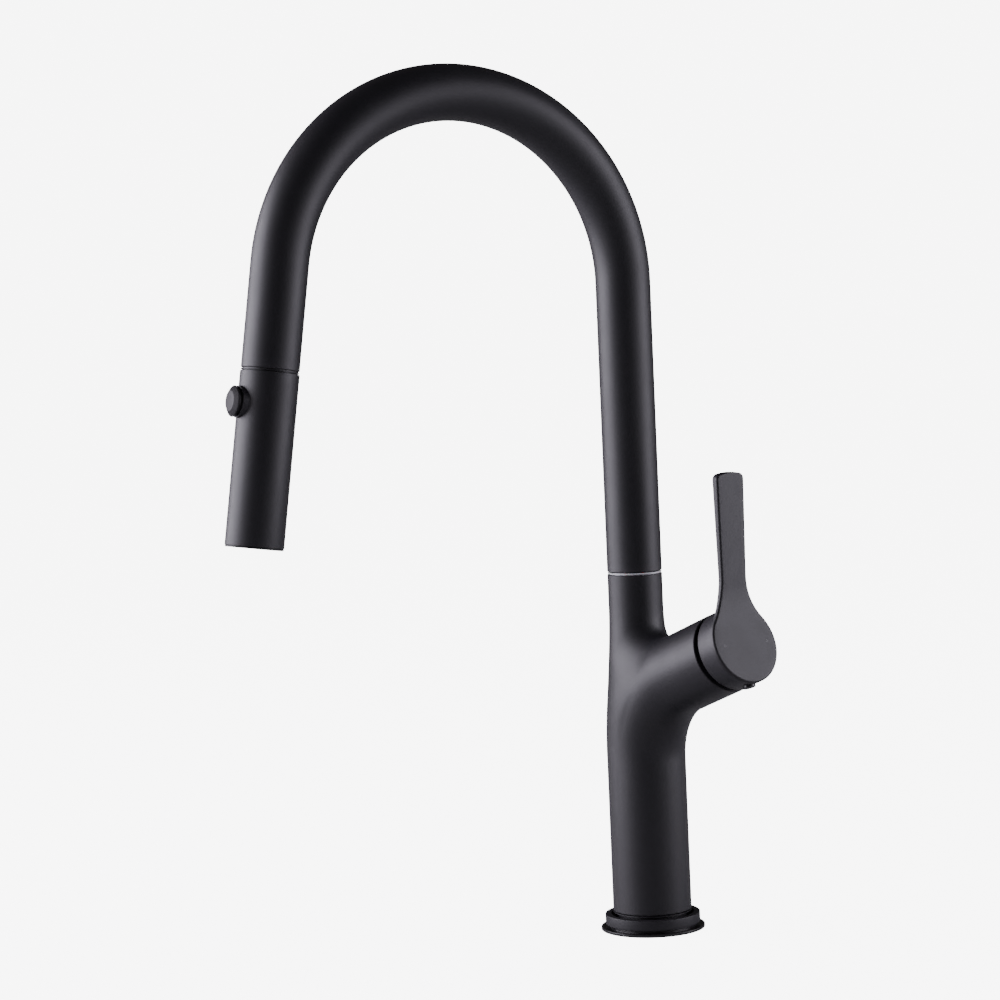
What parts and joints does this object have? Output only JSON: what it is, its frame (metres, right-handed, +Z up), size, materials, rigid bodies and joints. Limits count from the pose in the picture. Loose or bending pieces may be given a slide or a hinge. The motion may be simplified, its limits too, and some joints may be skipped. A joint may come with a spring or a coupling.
{
  "type": "pull down kitchen faucet",
  "caption": "High-arc kitchen faucet with a docking pull-down spray head, a spray button and a side blade lever on an angled branch.",
  "frame": {"origin": "centre of the base on the deck plane, on the column's axis", "axes": "+Z up from the deck, +X towards the lever's branch, spout towards -Y"},
  "size_m": [0.1341, 0.2485, 0.4402],
  "materials": {
    "matte_black": "satin",
    "black_rubber": "satin",
    "brass": "machined",
    "steel": "brushed",
    "grey_plastic": "matte",
    "ceramic": "polished",
    "gloss_black": "gloss",
    "white_nylon": "satin",
    "magnet": "matte",
    "braided_nylon": "woven",
    "dark_plastic": "matte",
    "soft_grey_rubber": "matte",
    "mark_enamel": "satin"
  },
  "bodies": {
    "body": {"deck_gasket": "black_rubber", "base_ring": "matte_black", "base_insert": "brass", "body_casting": "matte_black", "hot_supply_tube": "steel", "cold_supply_tube": "steel", "mixed_outlet_tube": "steel", "cartridge_holder": "brass", "port_seals": "black_rubber", "cartridge_base": "grey_plastic", "fixed_disc": "ceramic", "cartridge_housing": "grey_plastic", "cartridge_nut": "brass", "dome_cap": "gloss_black", "slip_ring": "white_nylon", "swivel_clip": "steel"},
    "spout": {"spout_tube": "matte_black", "swivel_insert": "dark_plastic", "swivel_orings": "black_rubber", "docking_collar": "matte_black", "dock_magnet": "magnet", "spray_hose": "braided_nylon", "hose_end_fitting": "brass"},
    "spray_head": {"head_shell": "matte_black", "head_inlet": "grey_plastic", "hose_ferrule": "steel", "inlet_oring": "black_rubber", "check_valve": "white_nylon", "valve_core": "grey_plastic", "button_collar": "matte_black", "button_spring": "steel", "spray_chamber": "grey_plastic", "spray_face": "dark_plastic", "spray_nozzles": "soft_grey_rubber", "aerator_housing": "dark_plastic", "aerator_insert": "white_nylon", "face_bezel": "dark_plastic"},
    "spray_button": {"button_cap": "dark_plastic", "diverter_spool": "white_nylon", "spool_seal": "black_rubber"},
    "temperature_carrier": {"stem_carrier": "grey_plastic", "pivot_pin": "steel"},
    "lever": {"lever_handle": "matte_black", "cartridge_stem": "steel", "set_screw": "steel", "set_screw_plug": "gloss_black", "index_marks": "mark_enamel"},
    "flow_disc": {"disc_carrier": "grey_plastic", "moving_disc": "ceramic"}
  },
  "joints": [
    {"name": "spout_swivel", "type": "hinge", "parent": "body", "child": "spout", "pos_m": [-0.0034, 0, 0.1835], "axis": [0, 0, 1], "continuous": true},
    {"name": "head_pulldown", "type": "slide", "parent": "spout", "child": "spray_head", "axis": [-0.022, -0.147, -0.9889], "range_m": [0, 0.2]},
    {"name": "button_press", "type": "slide", "parent": "spray_head", "child": "spray_button", "axis": [0.1462, 0.978, -0.1487], "range_m": [0, 0.0014], "stiffness_N_per_m": 600, "springref_m": -0.002},
    {"name": "temperature_turn", "type": "hinge", "parent": "body", "child": "temperature_carrier", "pos_m": [0.04901, 0, 0.14009], "axis": [0.9358, 0, 0.3525], "range_deg": [-45, 45]},
    {"name": "flow_tilt", "type": "hinge", "parent": "temperature_carrier", "child": "lever", "pos_m": [0.04901, 0, 0.14009], "axis": [0, 1, 0], "range_deg": [0, 15]},
    {"name": "disc_slide", "type": "slide", "parent": "temperature_carrier", "child": "flow_disc", "axis": [-0.3525, 0, 0.9358], "range_m": [0, 0.0012]}
  ],
  "couplings": [
    {"joint": "disc_slide", "follows": "flow_tilt", "m_per_rad": 0.0042}
  ]
}
